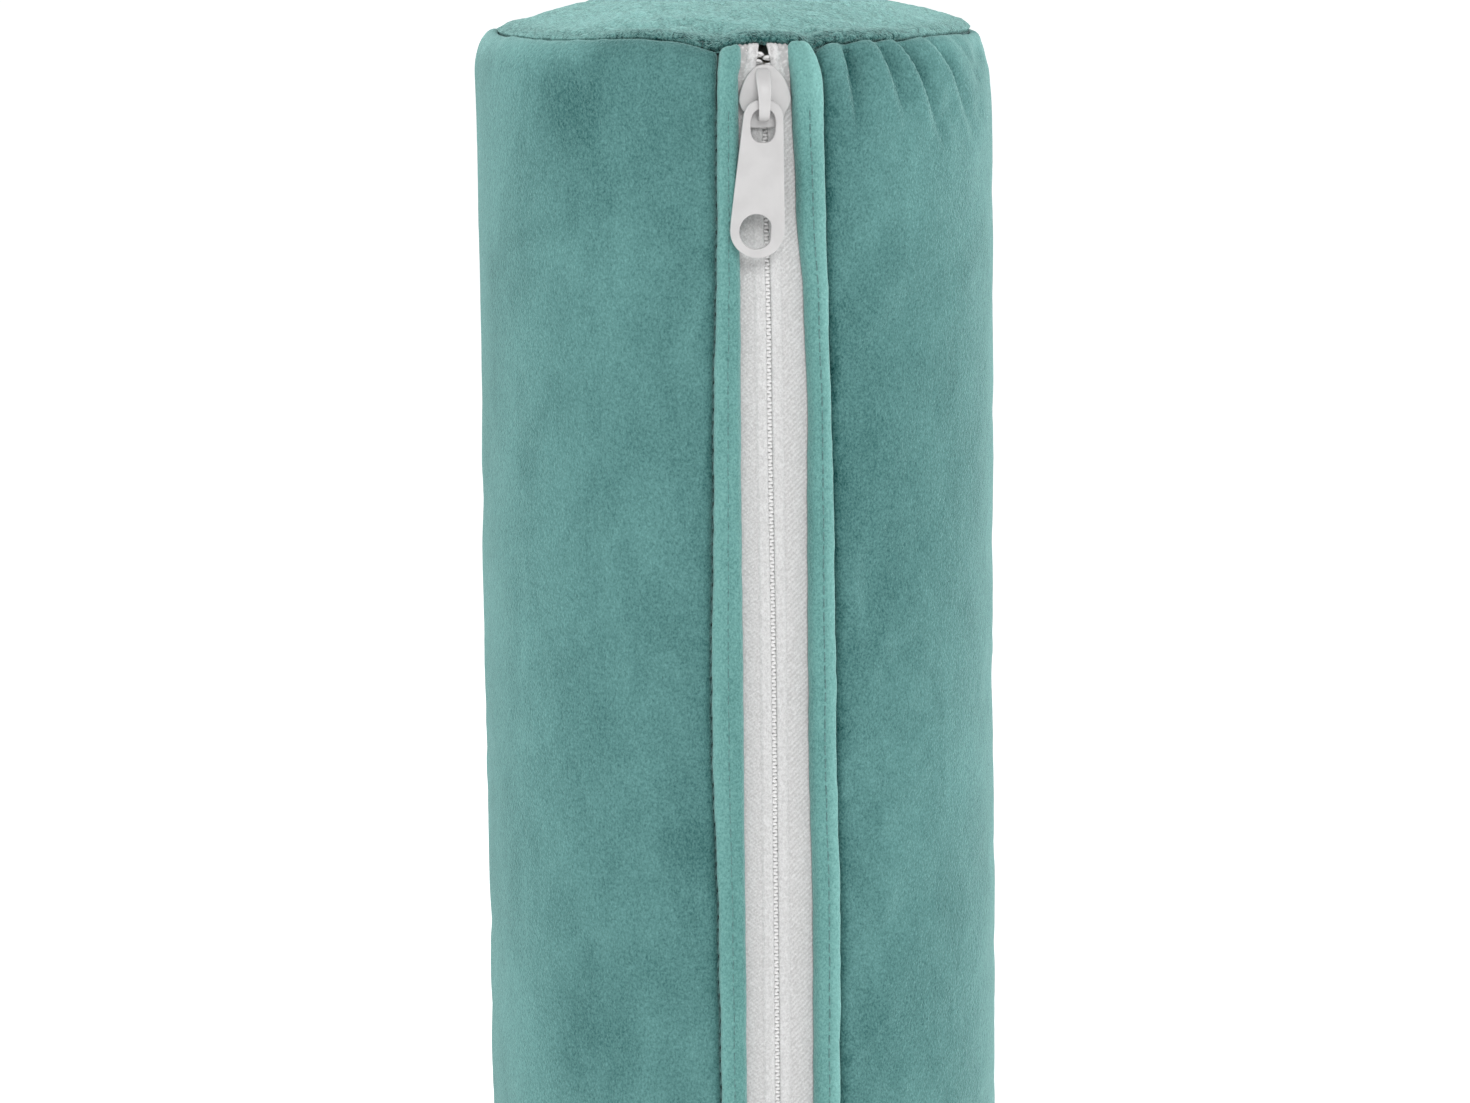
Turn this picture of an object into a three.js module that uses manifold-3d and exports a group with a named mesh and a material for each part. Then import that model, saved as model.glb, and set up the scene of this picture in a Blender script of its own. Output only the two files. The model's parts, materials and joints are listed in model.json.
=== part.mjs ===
// Bolster pillow: a velvet cylinder cushion standing on its lower end, with a full-length zip.
// Millimetres, +Z up. The origin is the middle of the flat lower end. The zip faces -Y.
import * as THREE from 'three';
import { mergeVertices } from 'three/addons/utils/BufferGeometryUtils.js';
import Module from 'manifold-3d';

const wasm = await Module();
wasm.setup();

// ---- driving dimensions ----
const LENGTH = 432; // foot to the crown of the upper end, 17 in
const RADIUS = 51; // outside of the velvet, 4 in across
const CROWN = 8.8; // how far the upper end stands above its seam
const SEAM_RADIUS = 46.5; // of both end seams
const SEAM_Z = LENGTH - CROWN; // height of the upper end seam
const SHOULDER_UP = 9.5; // height of the curve between the side and the upper seam
const SHOULDER_LOW = 7; // the same at the foot
const FOOT_LIFT = 0.5; // the side panel's lower edge above the resting face
const GAP = 0.3; // kept between touching pieces
const VELVET = 2; // velvet with its pile
const LINING = 0.8; // inner case cloth

const STRIP_INNER = 6.1; // from the zip's middle to a strip's folded edge
const STRIP_OUTER = 11.4; // from the zip's middle to a strip's sewn edge
const PANEL_EDGE = 12.4; // from the zip's middle to the side panel's edge
const STRIP_RADIUS = 51.6; // outside of the strips
const TAPE_RADIUS = 48.7; // outside of the zip tape
const TAPE_THICK = 0.7;
const TAPE_INNER = 0.8; // half of the groove between the tapes
const TAPE_OUTER = 15; // half of the whole chain's width

const COIL_WIDTH = 2.6;
const COIL_DEPTH = 2;
const COIL_OUT = 47.5; // distance of the coil's outer side from the axis
const COIL_END = 11; // the straight coil ends this far inside each end seam

const SLIDER_Z = 413.2; // height of the closed slider's widest line
const PLATE = 1.2; // thickness of both slider plates
const PLATE_OUT = TAPE_RADIUS + GAP + PLATE; // outer face of the outer plate
const LOW_PLATE_OUT = COIL_OUT - COIL_DEPTH - GAP; // outer face of the inner plate
const PIVOT_DROP = 1.4; // the tab's pivot below the slider's widest line
const PIVOT_OUT = PLATE_OUT + 1.2; // distance of the tab's pivot from the axis plane
const TAB_SHIFT = -0.4; // the loose tab sits a little to the left on its bridge
const TAB_LEAN = 3.8; // degrees that the loose tab hangs to the left
const TAB_PITCH = 2.8; // degrees that the tab leans out, because it rests on the left strip

const SUNK = 0.5; // how deep the slider's post, rails and bridge run into its plates
const PLATE_BEVEL = 0.3;
const TAB_THICK = 1.6;

const TROUGH_HALF = 8; // half width of the hollow that the zip presses into the inner case
const TROUGH_OUT = LOW_PLATE_OUT - PLATE - GAP; // distance of the hollow's floor from the axis

const SEGMENTS = 48; // round the cushion
const STEPS = 4; // along each shoulder

const FINISHES = {
  velvet: { color: 0x64938f, roughness: 0.95, metalness: 0 },
  velvetStrip: { color: 0x78a8a3, roughness: 0.9, metalness: 0 },
  thread: { color: 0x4f7a78, roughness: 0.9, metalness: 0 },
  tape: { color: 0xd0d1d0, roughness: 0.85, metalness: 0 },
  coil: { color: 0xd8d8d6, roughness: 0.5, metalness: 0 },
  enamel: { color: 0xdcdbda, roughness: 0.35, metalness: 0 },
  lining: { color: 0xe6e4de, roughness: 0.9, metalness: 0 },
  foam: { color: 0xece8d8, roughness: 1, metalness: 0 },
};

const part = new THREE.Group();

function add(name, geometry, finish, parent = part) {
  const mesh = new THREE.Mesh(geometry, new THREE.MeshStandardMaterial(FINISHES[finish]));
  mesh.name = name;
  parent.add(mesh);
  return mesh;
}

// ---- joining and cutting ----
function toSolid(geometry) {
  const bare = geometry.clone();
  bare.deleteAttribute('normal');
  bare.deleteAttribute('uv');
  const merged = mergeVertices(bare, 1e-4);
  return new wasm.Manifold(new wasm.Mesh({
    numProp: 3,
    vertProperties: new Float32Array(merged.attributes.position.array),
    triVerts: new Uint32Array(merged.index.array),
  }));
}

function toGeometry(solid) {
  const mesh = solid.getMesh();
  const geometry = new THREE.BufferGeometry();
  geometry.setAttribute('position', new THREE.BufferAttribute(mesh.vertProperties, 3));
  geometry.setIndex(new THREE.BufferAttribute(mesh.triVerts, 1));
  geometry.computeVertexNormals();
  return geometry;
}

// A box between two corners, as a solid.
function block(low, high) {
  const size = high.map((value, i) => value - low[i]);
  const box = new THREE.BoxGeometry(...size);
  box.translate(...low.map((value, i) => value + size[i] / 2));
  return toSolid(box);
}

// ---- round shapes ----
// Turns an outline of [radius, height] points round the Z axis. One corner faces -Y.
function turned(points, segments = SEGMENTS) {
  const outline = points.map(([r, z]) => new THREE.Vector2(r, z));
  const geometry = new THREE.LatheGeometry(outline, segments);
  geometry.rotateX(Math.PI / 2);
  return geometry;
}

// A quarter of an ellipse round (radius, height), from one angle in degrees to another.
function arc(radius, height, a, b, from, to, steps = STEPS) {
  return Array.from({ length: steps + 1 }, (_, i) => {
    const angle = THREE.MathUtils.degToRad(from + ((to - from) * i) / steps);
    return [radius + a * Math.cos(angle), height + b * Math.sin(angle)];
  });
}

// The outer line of a sleeve whose two ends curl in to the radius rim.
function sleeveLine({ radius, rim, low, high, curlLow, curlHigh }, inset = 0) {
  const a = radius - rim - inset;
  return [
    ...arc(rim, low + curlLow, a, curlLow - inset, -90, 0),
    ...arc(rim, high - curlHigh, a, curlHigh - inset, 0, 90),
  ];
}

function sleeve(shape, thickness) {
  const outline = [...sleeveLine(shape), ...sleeveLine(shape, thickness).reverse()];
  return turned([...outline, outline[0]]);
}

// How high a stuffed round end stands at radius r above its rim.
function crownHeight(r, rim, crown) {
  return crown * Math.max(0, 1 - (r / rim) ** 2) ** 0.75;
}

function crownLine(rim, crown, base, steps) {
  return Array.from({ length: steps + 1 }, (_, i) => {
    const r = rim * Math.sin((Math.PI / 2) * (i / steps));
    return [i === 0 ? 0 : r, base + crownHeight(r, rim, crown)];
  });
}

function crownedDisc(rim, crown, base, thickness, steps) {
  const top = crownLine(rim, crown, base, steps);
  const under = top.map(([r, z]) => [r, z - thickness]);
  return turned([...under, ...top.reverse()]);
}

function flatDisc(radius, low, high) {
  return turned([[0, low], [radius, low], [radius, high], [0, high]]);
}

function ring(radius, height, thick) {
  const sides = 6;
  const outline = arc(radius, height, thick / 2, thick / 2, 0, 360, sides);
  outline[sides] = outline[0];
  return turned(outline);
}

// A straight bar along Z from a flat outline of [x, y] points.
function bar(outline, low, high, holes = []) {
  const shape = new THREE.Shape(outline.map(([x, y]) => new THREE.Vector2(x, y)));
  shape.holes = holes.map((hole) => new THREE.Path(hole.map(([x, y]) => new THREE.Vector2(x, y))));
  const geometry = new THREE.ExtrudeGeometry(shape, { depth: high - low, bevelEnabled: false });
  geometry.translate(0, 0, low);
  return geometry;
}

function oval(x, y, width, depth, sides) {
  return Array.from({ length: sides }, (_, i) => {
    const angle = (2 * Math.PI * (i + 0.5)) / sides;
    return [x + (width / 2) * Math.cos(angle), y + (depth / 2) * Math.sin(angle)];
  });
}

// ---- the velvet cover ----
const SIDE = {
  radius: RADIUS, rim: SEAM_RADIUS, low: FOOT_LIFT, high: SEAM_Z,
  curlLow: SHOULDER_LOW, curlHigh: SHOULDER_UP,
};
const STRIP = { ...SIDE, radius: STRIP_RADIUS };
const TAPE = {
  radius: TAPE_RADIUS, rim: 46, low: 2.6, high: SEAM_Z - 3, curlLow: 5.4, curlHigh: 6.5,
};
const FRONT_Y = -60; // beyond everything on the zip's side

function frontSlice(geometry, fromX, toX) {
  const slab = block([fromX, FRONT_Y, -1], [toX, -RADIUS / 2, LENGTH + 1]);
  return toSolid(geometry).intersect(slab);
}

function makeCover() {
  const zipOpening = block([-PANEL_EDGE, FRONT_Y, -1], [PANEL_EDGE, 0, LENGTH + 1]);
  add('side_panel', toGeometry(toSolid(sleeve(SIDE, VELVET)).subtract(zipOpening)), 'velvet');
  const rim = SEAM_RADIUS - GAP;
  add('end_panel_upper', crownedDisc(rim, CROWN, SEAM_Z, VELVET, 7), 'velvet');
  add('end_panel_lower', flatDisc(rim, 0, VELVET), 'velvet');
  for (const [side, sign] of [['left', -1], ['right', 1]]) {
    const edges = [sign * STRIP_INNER, sign * STRIP_OUTER].sort((a, b) => a - b);
    const strip = frontSlice(sleeve(STRIP, VELVET), ...edges);
    add(`zip_strip_${side}`, toGeometry(strip), 'velvetStrip');
  }
}

// ---- the inner case and its filling ----
const CASE = {
  radius: TAPE_RADIUS - TAPE_THICK - GAP, rim: 44.5, low: 3.4, high: SEAM_Z - 4,
  curlLow: 6, curlHigh: 7,
};
const CASE_CROWN = CROWN - VELVET - GAP - (CASE.high - SEAM_Z);
const CORE = {
  radius: CASE.radius - LINING - GAP, rim: 43.6, low: 5.6, curl: 5, top: CASE.high - 3,
  crown: CASE_CROWN + 1.9,
};

// The hollow along the zip, grown inwards by the given amount.
function trough(grown) {
  const half = TROUGH_HALF + grown;
  return block([-half, FRONT_Y, -1], [half, -TROUGH_OUT + grown, LENGTH + 1]);
}

// A sleeve shape filled solid, with straight ends that reach past it by extra.
function filledSleeve(shape, inset, extra) {
  const line = sleeveLine(shape, inset);
  const low = shape.low - extra;
  const high = shape.high + extra;
  const ends = extra > 0 ? [[[shape.rim, low]], [[shape.rim, high]]] : [[], []];
  return toSolid(turned([[0, low], ...ends[0], ...line, ...ends[1], [0, high]]));
}

function makeInnerCase() {
  const outside = filledSleeve(CASE, 0, 0).subtract(trough(0));
  const inside = filledSleeve(CASE, LINING, 2).subtract(trough(LINING));
  add('liner_sleeve', toGeometry(outside.subtract(inside)), 'lining');
  const rim = CASE.rim - GAP;
  const clear = trough(LINING + GAP);
  const upper = toSolid(crownedDisc(rim, CASE_CROWN, CASE.high, LINING, 5));
  add('liner_end_upper', toGeometry(upper.subtract(clear)), 'lining');
  const lower = toSolid(flatDisc(rim, CASE.low, CASE.low + LINING));
  add('liner_end_lower', toGeometry(lower.subtract(clear)), 'lining');

  const grow = CORE.radius - CORE.rim;
  const outline = [
    [0, CORE.low],
    ...arc(CORE.rim, CORE.low + CORE.curl, grow, CORE.curl, -90, 0, 3),
    ...arc(CORE.rim, CORE.top - CORE.curl, grow, CORE.curl, 0, 90, 3),
    ...crownLine(CORE.rim, CORE.crown, CORE.top, 5).reverse().slice(1),
  ];
  add('foam_core', toGeometry(toSolid(turned(outline)).subtract(clear)), 'foam');
}

// ---- sewing threads ----
// A ring of thread lies this far inside its seam's radius, and this far from the seam's height.
const COVER_RING = { inset: 1.3, belowTop: 2.2, aboveFoot: 0.7, thick: 0.7 };
const CASE_RING = { inset: 2.5, belowTop: 0.25, aboveFoot: 1.5, thick: 0.6 };
const LONG_THREAD_END = 12; // the long threads stop this far inside each end seam
const STRIP_SEAM = { out: 49.4, thick: 0.4 }; // joins a strip to the side panel
const TOP_STITCH = { inset: 1.4, out: 48.56, thick: 0.28 }; // joins a tape under a strip's fold

function makeThreads() {
  const coverRadius = SEAM_RADIUS - COVER_RING.inset;
  const caseRadius = CASE.rim - CASE_RING.inset;
  const rings = {
    end_seam_thread_upper: [coverRadius, SEAM_Z - COVER_RING.belowTop, COVER_RING.thick, 'thread'],
    end_seam_thread_lower: [coverRadius, VELVET + COVER_RING.aboveFoot, COVER_RING.thick, 'thread'],
    liner_seam_thread_upper: [caseRadius, CASE.high - CASE_RING.belowTop, CASE_RING.thick, 'lining'],
    liner_seam_thread_lower: [caseRadius, CASE.low + CASE_RING.aboveFoot, CASE_RING.thick, 'lining'],
  };
  for (const [name, [radius, height, thick, finish]] of Object.entries(rings)) {
    add(name, ring(radius, height, thick), finish);
  }
  const ends = [LONG_THREAD_END, SEAM_Z - LONG_THREAD_END];
  const seamX = (STRIP_OUTER + PANEL_EDGE) / 2;
  const stitchX = STRIP_INNER + TOP_STITCH.inset;
  for (const [side, sign] of [['left', -1], ['right', 1]]) {
    const seam = oval(sign * seamX, -STRIP_SEAM.out, STRIP_SEAM.thick, STRIP_SEAM.thick, 6);
    add(`strip_seam_thread_${side}`, bar(seam, ...ends), 'thread');
    const stitch = oval(sign * stitchX, -TOP_STITCH.out, TOP_STITCH.thick, TOP_STITCH.thick, 6);
    add(`tape_stitch_${side}`, bar(stitch, ...ends), 'thread');
  }
}

// ---- the zip chain ----
const COIL_HOLE = { width: 1.3, depth: 1.2 }; // the cord runs through it
const CORD_THICK = 0.6;
const TACK = { half: 4, thick: 0.6, low: 21, high: 23.4 }; // threads that close the zip's lower end

function makeChain() {
  const coilX = TAPE_INNER + COIL_WIDTH / 2;
  const coilY = -(COIL_OUT - COIL_DEPTH / 2);
  const ends = [COIL_END, SEAM_Z - COIL_END];
  for (const [side, sign] of [['left', -1], ['right', 1]]) {
    const edges = [sign * TAPE_INNER, sign * TAPE_OUTER].sort((a, b) => a - b);
    const tape = frontSlice(sleeve(TAPE, TAPE_THICK), ...edges);
    add(`zipper_tape_${side}`, toGeometry(tape), 'tape');
    const coil = oval(sign * coilX, coilY, COIL_WIDTH, COIL_DEPTH, 8);
    const hole = oval(sign * coilX, coilY, COIL_HOLE.width, COIL_HOLE.depth, 8);
    add(`zipper_coil_${side}`, bar(coil, ...ends, [hole]), 'coil');
    const cord = oval(sign * coilX, coilY, CORD_THICK, CORD_THICK, 6);
    add(`coil_cord_${side}`, bar(cord, ...ends), 'tape');
  }
  const tackOut = TAPE_RADIUS + GAP;
  const tack = block([-TACK.half, -tackOut - TACK.thick, TACK.low], [TACK.half, -tackOut, TACK.high]);
  add('bar_tack_lower', toGeometry(tack), 'tape');
}

// ---- the slider ----
// Half of the slider's outline: [distance from the middle, height over the widest line].
const SLIDER_HALF = [
  [1.4, 6], [3, 4.9], [4.5, 2.4], [4.95, 0], [4.6, -1.6], [3.8, -3.2], [3.5, -5], [3, -5.85],
];
const INNER_SCALE = 0.95; // the inner plate is a little smaller than the outer one
const POST = { half: 0.5, low: 1.2, high: 4.6 }; // parts the coils between the plates
const RAIL = { near: 3.7, far: 4.6, out: 47.4, low: -2.4, high: -0.2 }; // presses the coils together

// An outline in X and Z made into a plate between two distances from the axis plane.
function frontPlate(shape, near, far, bevel) {
  const geometry = new THREE.ExtrudeGeometry(shape, {
    depth: far - near - 2 * bevel, curveSegments: 6, bevelEnabled: bevel > 0, bevelSegments: 1,
    bevelThickness: bevel, bevelSize: bevel, bevelOffset: -bevel,
  });
  geometry.translate(0, 0, near + bevel);
  geometry.rotateX(Math.PI / 2);
  return geometry;
}

function sliderShape(scale) {
  const right = SLIDER_HALF.map(([x, z]) => new THREE.Vector2(x * scale, z * scale));
  const left = SLIDER_HALF.map(([x, z]) => new THREE.Vector2(-x * scale, z * scale)).reverse();
  return new THREE.Shape([...right, ...left]);
}

// The arched bridge over the tab's bar, as a side view of [distance from the axis, height].
const BRIDGE_HALF = 1.15;
const BRIDGE_BEVEL = 0.25;
const BRIDGE_FOOT = PLATE_OUT - SUNK;
const BRIDGE_ARCH = [
  [BRIDGE_FOOT, 5.4], [51.2, 4.9], [52.8, 3.6], [53.7, 1.6], [53.9, -0.6], [53.6, -2.8],
  [52.4, -4.4], [BRIDGE_FOOT, -4.7],
  [BRIDGE_FOOT, -3.3], [51.9, -3.1], [52.6, -2.2], [52.75, -0.9], [52.4, 0.2],
  [51.4, 0.9], [BRIDGE_FOOT, 1.1],
];

function makeBridge() {
  const shape = new THREE.Shape(BRIDGE_ARCH.map(([out, z]) => new THREE.Vector2(out, z)));
  const geometry = new THREE.ExtrudeGeometry(shape, {
    depth: 2 * (BRIDGE_HALF - BRIDGE_BEVEL), bevelSegments: 1,
    bevelThickness: BRIDGE_BEVEL, bevelSize: BRIDGE_BEVEL, bevelOffset: -BRIDGE_BEVEL,
  });
  geometry.translate(0, 0, BRIDGE_BEVEL - BRIDGE_HALF);
  // local x (distance from the axis) turns to -Y, local y to Z and local z to -X
  geometry.applyMatrix4(new THREE.Matrix4().makeBasis(
    new THREE.Vector3(0, -1, 0), new THREE.Vector3(0, 0, 1), new THREE.Vector3(-1, 0, 0),
  ));
  return toSolid(geometry);
}

function makeSlider(carrier) {
  const outer = frontPlate(sliderShape(1), PLATE_OUT - PLATE, PLATE_OUT, PLATE_BEVEL);
  const low = LOW_PLATE_OUT - SUNK;
  const inner = frontPlate(sliderShape(INNER_SCALE), LOW_PLATE_OUT - PLATE, LOW_PLATE_OUT, PLATE_BEVEL);
  const post = block([-POST.half, SUNK - PLATE_OUT, POST.low], [POST.half, -low, POST.high]);
  let body = toSolid(outer).add(toSolid(inner)).add(post).add(makeBridge());
  for (const sign of [-1, 1]) {
    const [a, b] = [sign * RAIL.near, sign * RAIL.far].sort((p, q) => p - q);
    body = body.add(block([a, -RAIL.out, RAIL.low], [b, -low, RAIL.high]));
  }
  add('slider_body', toGeometry(body), 'enamel', carrier);
}

// The flat pull tab hangs from the bridge by the bar above its upper hole.
function makePullTab(carrier) {
  const top = { half: 2.9, edge: 0.9, shoulder: 3.85, low: -1.2 };
  const end = { centre: -23.75, radius: 5.15 };
  const shape = new THREE.Shape();
  shape.moveTo(-top.half, top.edge);
  shape.lineTo(top.half, top.edge);
  shape.quadraticCurveTo(top.shoulder, top.edge, top.shoulder, top.low);
  shape.lineTo(end.radius, end.centre);
  shape.absarc(0, end.centre, end.radius, 0, -Math.PI, true);
  shape.lineTo(-top.shoulder, top.low);
  shape.quadraticCurveTo(-top.shoulder, top.edge, -top.half, top.edge);

  const upperHole = { half: 2.35, top: -0.8, bottom: -7.1 };
  const upper = new THREE.Path();
  upper.moveTo(upperHole.half, upperHole.top);
  upper.lineTo(-upperHole.half, upperHole.top);
  upper.lineTo(-upperHole.half, upperHole.bottom + upperHole.half);
  upper.absarc(0, upperHole.bottom + upperHole.half, upperHole.half, -Math.PI, 0);
  const lower = new THREE.Path();
  const lowerHole = { x: -0.2, z: -23.9, half: 3.05, reach: 3.3 };
  lower.absellipse(lowerHole.x, lowerHole.z, lowerHole.half, lowerHole.reach, 0, 2 * Math.PI);
  shape.holes = [upper, lower];

  add('pull_tab', frontPlate(shape, -TAB_THICK / 2, TAB_THICK / 2, PLATE_BEVEL), 'enamel', carrier);
}

const slider = new THREE.Group();
slider.position.set(0, 0, SLIDER_Z);
const tab = new THREE.Group();
tab.position.set(TAB_SHIFT, -PIVOT_OUT, -PIVOT_DROP);
tab.rotation.order = 'YXZ';
tab.rotation.y = THREE.MathUtils.degToRad(TAB_LEAN);
tab.rotation.x = -THREE.MathUtils.degToRad(TAB_PITCH);
slider.add(tab);
part.add(slider);

makeCover();
makeInnerCase();
makeThreads();
makeChain();
makeSlider(slider);
makePullTab(tab);

export default part;
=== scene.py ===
import json
import math
from bisect import bisect_left

import bpy
import bmesh
from mathutils import Matrix, Vector, noise


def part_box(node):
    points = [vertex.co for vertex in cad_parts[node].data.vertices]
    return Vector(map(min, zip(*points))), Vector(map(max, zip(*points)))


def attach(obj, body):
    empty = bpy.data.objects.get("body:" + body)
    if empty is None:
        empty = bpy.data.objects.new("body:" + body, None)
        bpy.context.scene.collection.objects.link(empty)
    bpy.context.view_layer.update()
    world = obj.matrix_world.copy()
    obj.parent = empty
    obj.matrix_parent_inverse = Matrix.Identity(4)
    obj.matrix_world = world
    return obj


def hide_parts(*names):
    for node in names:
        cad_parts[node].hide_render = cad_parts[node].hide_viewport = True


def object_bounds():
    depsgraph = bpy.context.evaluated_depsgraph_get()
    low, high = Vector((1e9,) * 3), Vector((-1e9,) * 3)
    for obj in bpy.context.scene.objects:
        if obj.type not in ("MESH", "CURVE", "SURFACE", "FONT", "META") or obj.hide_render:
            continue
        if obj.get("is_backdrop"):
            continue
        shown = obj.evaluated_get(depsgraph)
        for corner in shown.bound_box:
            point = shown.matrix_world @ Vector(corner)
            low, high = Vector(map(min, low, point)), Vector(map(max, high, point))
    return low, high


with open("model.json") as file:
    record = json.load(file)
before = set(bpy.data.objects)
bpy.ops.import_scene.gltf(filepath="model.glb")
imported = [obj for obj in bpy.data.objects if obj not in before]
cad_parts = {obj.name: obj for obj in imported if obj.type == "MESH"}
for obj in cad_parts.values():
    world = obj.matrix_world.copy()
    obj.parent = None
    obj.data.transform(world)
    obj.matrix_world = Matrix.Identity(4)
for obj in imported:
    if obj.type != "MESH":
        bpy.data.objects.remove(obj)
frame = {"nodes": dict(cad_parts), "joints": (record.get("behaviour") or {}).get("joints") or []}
cad_low, cad_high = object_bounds()

# ---- sizes in millimetres, worked out from the CAD nodes where they can be ----
MM = 0.001


def node_box(name):
    low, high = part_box(name)
    return [v / MM for v in low], [v / MM for v in high]


SIDE_LOW, SIDE_HIGH = node_box("side_panel")
RADIUS = SIDE_HIGH[0]
SEAM_Z = SIDE_HIGH[2]
FOOT_Z = SIDE_LOW[2]
CROWN = cad_high[2] / MM - SEAM_Z  # how far the upper end stands above its seam
SEAM_RADIUS = 46.5  # of both end seams
SHOULDER_UP = 9.5  # height of the curve between the side and the upper seam
SHOULDER_LOW = 7.0  # the same at the foot
TAPE_RADIUS = -node_box("zipper_tape_left")[0][1]
STRIP_RADIUS = 51.5
STRIP_THICK = 1.2
VELVET_THICK = 1.6
TAPE_THICK = 0.55
AROUND = 2 * math.pi * RADIUS


def new_object(name, data):
    obj = bpy.data.objects.new(name, data)
    bpy.context.scene.collection.objects.link(obj)
    return obj


# ---- camera ----
def make_camera():
    """Looks from slightly left of the zip and a little above the upper end, at a part below it."""
    azimuth = math.radians(-6.6)
    lean = math.radians(-0.5)
    distance = 1.08
    above_seam, aim_below_seam, aim_left = 66, 104.6, 0.7
    height = (SEAM_Z + above_seam) * MM
    aim = Vector((-aim_left * MM, 0, (SEAM_Z - aim_below_seam) * MM))
    camera = new_object("camera", bpy.data.cameras.new("camera"))
    camera.location = (distance * math.sin(azimuth), -distance * math.cos(azimuth), height)
    look = (aim - camera.location).to_track_quat("-Z", "Y")
    tilt = Matrix.Rotation(lean, 4, "Z")
    camera.rotation_euler = (look.to_matrix().to_4x4() @ tilt).to_euler()
    camera.data.lens = 133.7
    camera.data.sensor_width = 36
    bpy.context.scene.camera = camera


make_camera()


# ---- mesh helpers ----
def grid_object(name, rows, wrap=False, nap_and_painted_light=None):
    """A sheet of quads from rows of points in millimetres. wrap joins each row's ends.

    The last argument holds how much lighter or darker each point is painted: the pile's and the weave's own
    pattern together with painted shade and painted highlights.
    """
    count = len(rows[0])
    points = [tuple(c * MM for c in p) for row in rows for p in row]
    faces = []
    for i in range(len(rows) - 1):
        for j in range(count if wrap else count - 1):
            k = (j + 1) % count
            faces.append((i * count + j, i * count + k, (i + 1) * count + k, (i + 1) * count + j))
    mesh = bpy.data.meshes.new(name)
    mesh.from_pydata(points, [], faces)
    if nap_and_painted_light:
        layer = mesh.attributes.new("nap_and_painted_light", "FLOAT", "POINT")
        layer.data.foreach_set("value", [value for row in nap_and_painted_light for value in row])
    mesh.validate()
    return new_object(name, mesh)


def smooth(obj):
    for polygon in obj.data.polygons:
        polygon.use_smooth = True
    return obj


def finished(name, work):
    """A smooth-shaded object from a bmesh, which it frees."""
    mesh = bpy.data.meshes.new(name)
    work.to_mesh(mesh)
    work.free()
    return smooth(new_object(name, mesh))


def evaluated_mesh(obj):
    return bpy.data.meshes.new_from_object(obj.evaluated_get(bpy.context.evaluated_depsgraph_get()))


def thicken(obj, thickness):
    """Gives a sheet its real thickness, inwards from its outer face."""
    solid = obj.modifiers.new("thickness", "SOLIDIFY")
    solid.thickness = thickness * MM
    solid.offset = -1
    solid.use_even_offset = False
    done = evaluated_mesh(obj)
    obj.modifiers.clear()
    obj.data = done
    return smooth(obj)


def face_outwards(obj):
    """Recalculates a closed mesh's normals."""
    work = bmesh.new()
    work.from_mesh(obj.data)
    bmesh.ops.remove_doubles(work, verts=work.verts, dist=1e-7)
    bmesh.ops.recalc_face_normals(work, faces=work.faces)
    work.to_mesh(obj.data)
    work.free()
    return smooth(obj)


def ease(t):
    t = min(max(t, 0.0), 1.0)
    return t * t * (3 - 2 * t)


def along(table, x):
    """A smooth value between the (x, value) pairs of a short table."""
    if x <= table[0][0]:
        return table[0][1]
    for (x0, v0), (x1, v1) in zip(table, table[1:]):
        if x <= x1:
            return v0 + (v1 - v0) * ease((x - x0) / (x1 - x0))
    return table[-1][1]


def steps(start, end, size):
    count = max(1, round(abs(end - start) / size))
    return [start + (end - start) * i / count for i in range(count + 1)]


def arc(start, end, size):
    """The (cosine, sine) of each step of an angle in degrees."""
    return [(math.cos(math.radians(a)), math.sin(math.radians(a))) for a in steps(start, end, size)]


def signed_power(value, power):
    return math.copysign(abs(value) ** power, value)


def curve_through(p0, p1, p2, p3, t):
    """The Catmull-Rom curve between p1 and p2."""
    return p1 + 0.5 * t * (p2 - p0 + t * (2 * p0 - 5 * p1 + 4 * p2 - p3 + t * (3 * (p1 - p2) + p3 - p0)))


def bump(x, width):
    return math.exp(-((x / width) ** 2))


def wave(x, period):
    return 0.5 + 0.5 * math.sin(x * 2 * math.pi / period)


def wobble(x, y, z, scale, seed):
    """Smooth noise from -1 to 1 at about the given size in millimetres."""
    return noise.noise(Vector((x / scale + seed, y / scale - seed, z / scale + 3.1 * seed)))


def roll(edge, width, depth):
    """How far the cloth turns in near a sewn edge, at a distance from it."""
    if edge >= width:
        return 0.0
    near = 1 - max(edge, 0.0) / width
    return -depth * (1 - math.sqrt(max(0.0, 1 - near * near)))


# ---- the outline of the cushion, from its foot seam to its upper seam ----
class Outline:
    """The side view of a sleeve whose ends curl in: points by distance along the cloth."""

    def __init__(self, radius, low=FOOT_Z, high=SEAM_Z, curl_low=SHOULDER_LOW, curl_high=SHOULDER_UP):
        depth = radius - SEAM_RADIUS
        line = [(SEAM_RADIUS + depth * c, low + curl_low * (1 + s)) for c, s in arc(-90, 0, 3)]
        line += [(SEAM_RADIUS + depth * c, high - curl_high * (1 - s)) for c, s in arc(0, 90, 3)]
        self.line = line
        self.marks = [0.0]
        for (r0, z0), (r1, z1) in zip(line, line[1:]):
            self.marks.append(self.marks[-1] + math.hypot(r1 - r0, z1 - z0))
        self.length = self.marks[-1]

    def at(self, s):
        """(radius, height, outward normal in the side view) at distance s from the foot."""
        s = min(max(s, 0.0), self.length)
        i = bisect_left(self.marks, s, 1)
        (r0, z0), (r1, z1) = self.line[i - 1], self.line[i]
        length = math.hypot(r1 - r0, z1 - z0)
        t = (s - self.marks[i - 1]) / length
        return r0 + (r1 - r0) * t, z0 + (z1 - z0) * t, (z1 - z0) / length, -(r1 - r0) / length


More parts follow.
